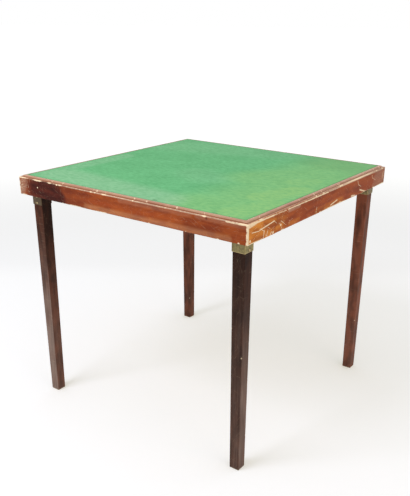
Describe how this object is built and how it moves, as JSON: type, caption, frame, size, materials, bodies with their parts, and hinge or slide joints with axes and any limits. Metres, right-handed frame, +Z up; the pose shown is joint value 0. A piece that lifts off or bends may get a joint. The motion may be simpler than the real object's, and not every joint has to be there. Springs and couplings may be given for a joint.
{
  "type": "folding card table",
  "caption": "Square card table with a baize playing surface in a mitred wooden frame, and tapered legs that fold up under the top on brass sockets.",
  "frame": {"origin": "on the floor under the middle of the table, with the legs down", "axes": "+Z up; the front apron faces -Y and the right apron faces +X; the table is square, so its sides are named by these axes"},
  "size_m": [0.762, 0.762, 0.686],
  "materials": {
    "baize": "napped wool cloth, matt",
    "plywood": "sanded, unvarnished",
    "softwood": "planed, unvarnished",
    "apron_mahogany": "worn varnish, satin",
    "bead_mahogany": "worn varnish, satin",
    "leg_mahogany": "dark varnish, satin",
    "tarnished_brass": "dull, tarnished",
    "spring_steel": "blued, dull",
    "cast_hanger": "as cast, dull",
    "steel_fixings": "dull, slightly rusty"
  },
  "bodies": {
    "table_top": {"baize": "baize", "batten_screws": "steel_fixings", "corner_splines": "plywood", "front_apron": "apron_mahogany", "front_bead": "bead_mahogany", "front_left_gusset": "plywood", "front_left_hanger_screws": "steel_fixings", "front_left_hinge_hanger": "cast_hanger", "front_left_leaf_spring": "spring_steel", "front_left_spring_rivets": "steel_fixings", "front_right_gusset": "plywood", "front_right_hanger_screws": "steel_fixings", "front_right_hinge_hanger": "cast_hanger", "front_right_leaf_spring": "spring_steel", "front_right_spring_rivets": "steel_fixings", "left_apron": "apron_mahogany", "left_batten": "softwood", "left_bead": "bead_mahogany", "playing_board": "plywood", "rear_apron": "apron_mahogany", "rear_bead": "bead_mahogany", "rear_left_gusset": "plywood", "rear_left_hanger_screws": "steel_fixings", "rear_left_hinge_hanger": "cast_hanger", "rear_left_leaf_spring": "spring_steel", "rear_left_spring_rivets": "steel_fixings", "rear_right_gusset": "plywood", "rear_right_hanger_screws": "steel_fixings", "rear_right_hinge_hanger": "cast_hanger", "rear_right_leaf_spring": "spring_steel", "rear_right_spring_rivets": "steel_fixings", "right_apron": "apron_mahogany", "right_batten": "softwood", "right_bead": "bead_mahogany"},
    "front_left_leg_assembly": {"front_left_leg": "leg_mahogany", "front_left_socket": "tarnished_brass", "front_left_socket_rivets": "tarnished_brass", "front_left_pivot_pin": "steel_fixings", "front_left_pivot_washers": "steel_fixings"},
    "front_right_leg_assembly": {"front_right_leg": "leg_mahogany", "front_right_socket": "tarnished_brass", "front_right_socket_rivets": "tarnished_brass", "front_right_pivot_pin": "steel_fixings", "front_right_pivot_washers": "steel_fixings"},
    "rear_right_leg_assembly": {"rear_right_leg": "leg_mahogany", "rear_right_socket": "tarnished_brass", "rear_right_socket_rivets": "tarnished_brass", "rear_right_pivot_pin": "steel_fixings", "rear_right_pivot_washers": "steel_fixings"},
    "rear_left_leg_assembly": {"rear_left_leg": "leg_mahogany", "rear_left_socket": "tarnished_brass", "rear_left_socket_rivets": "tarnished_brass", "rear_left_pivot_pin": "steel_fixings", "rear_left_pivot_washers": "steel_fixings"}
  },
  "joints": [
    {"name": "front_left_leg_fold", "type": "hinge", "parent": "table_top", "child": "front_left_leg_assembly", "pos_m": [-0.3385, -0.341, 0.652], "axis": [0, -1, 0], "range_deg": [0, 90], "deforming": ["front_left_leaf_spring"]},
    {"name": "front_right_leg_fold", "type": "hinge", "parent": "table_top", "child": "front_right_leg_assembly", "pos_m": [0.341, -0.3385, 0.652], "axis": [1, 0, 0], "range_deg": [0, 90], "deforming": ["front_right_leaf_spring"]},
    {"name": "rear_right_leg_fold", "type": "hinge", "parent": "table_top", "child": "rear_right_leg_assembly", "pos_m": [0.3385, 0.341, 0.652], "axis": [0, 1, 0], "range_deg": [0, 90], "deforming": ["rear_right_leaf_spring"]},
    {"name": "rear_left_leg_fold", "type": "hinge", "parent": "table_top", "child": "rear_left_leg_assembly", "pos_m": [-0.341, 0.3385, 0.652], "axis": [-1, 0, 0], "range_deg": [0, 90], "deforming": ["rear_left_leaf_spring"]}
  ]
}
